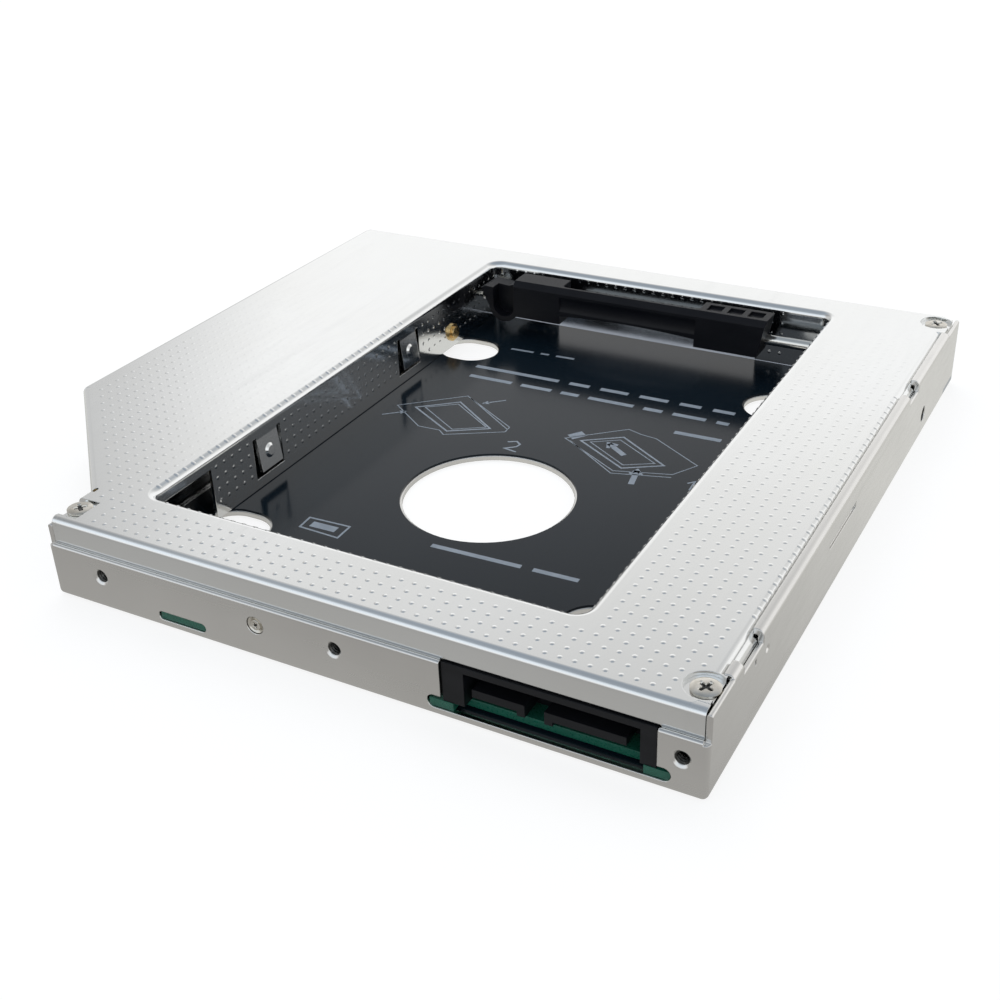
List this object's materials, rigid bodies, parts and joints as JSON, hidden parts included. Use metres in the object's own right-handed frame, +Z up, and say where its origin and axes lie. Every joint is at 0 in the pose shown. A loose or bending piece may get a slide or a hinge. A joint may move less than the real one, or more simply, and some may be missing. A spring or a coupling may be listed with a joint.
{
  "type": "laptop drive caddy",
  "caption": "Slimline caddy that holds a 2.5 inch drive in a laptop's optical drive bay, with dimpled cover, black film floor and sliding retainer bar.",
  "frame": {"origin": "bottom centre of the envelope", "axes": "+X to the right side wall, +Y from the plug face to the bezel end, +Z up"},
  "size_m": [0.128, 0.126, 0.0127],
  "materials": {
    "tray_sheet": "satin",
    "cover_sheet": "satin, small raised dimples",
    "film": "glossy, pale printed signs",
    "board": "solder mask",
    "connector_plastic": "fine grain",
    "contact_metal": "plated",
    "ceramic": "matt",
    "brass": "turned",
    "screw_steel": "nickel plated",
    "bar_plastic": "moulded, fine grain",
    "rod_steel": "ground"
  },
  "bodies": {
    "case": {"bottom_tray": "tray_sheet", "floor_film": "film", "top_cover": "cover_sheet", "circuit_board": "board", "slim_plug_housing": "connector_plastic", "slim_plug_contacts": "contact_metal", "drive_socket_housing": "connector_plastic", "drive_socket_signal_contacts": "contact_metal", "drive_socket_power_contacts": "contact_metal", "board_capacitors": "ceramic", "board_regulator": "connector_plastic", "board_standoffs": "brass", "board_screws": "screw_steel", "near_left_post": "brass", "near_right_post": "brass", "far_right_post": "brass", "near_left_screw": "screw_steel", "near_right_screw": "screw_steel", "far_right_screw": "screw_steel", "wall_nut": "brass", "wall_screw": "screw_steel", "locating_stud": "brass"},
    "retainer": {"retainer_bar": "bar_plastic", "retainer_rod": "rod_steel"}
  },
  "joints": [
    {"name": "retainer_slide", "type": "slide", "parent": "case", "child": "retainer", "axis": [0, 1, 0], "range_m": [0, 0.0028]}
  ]
}
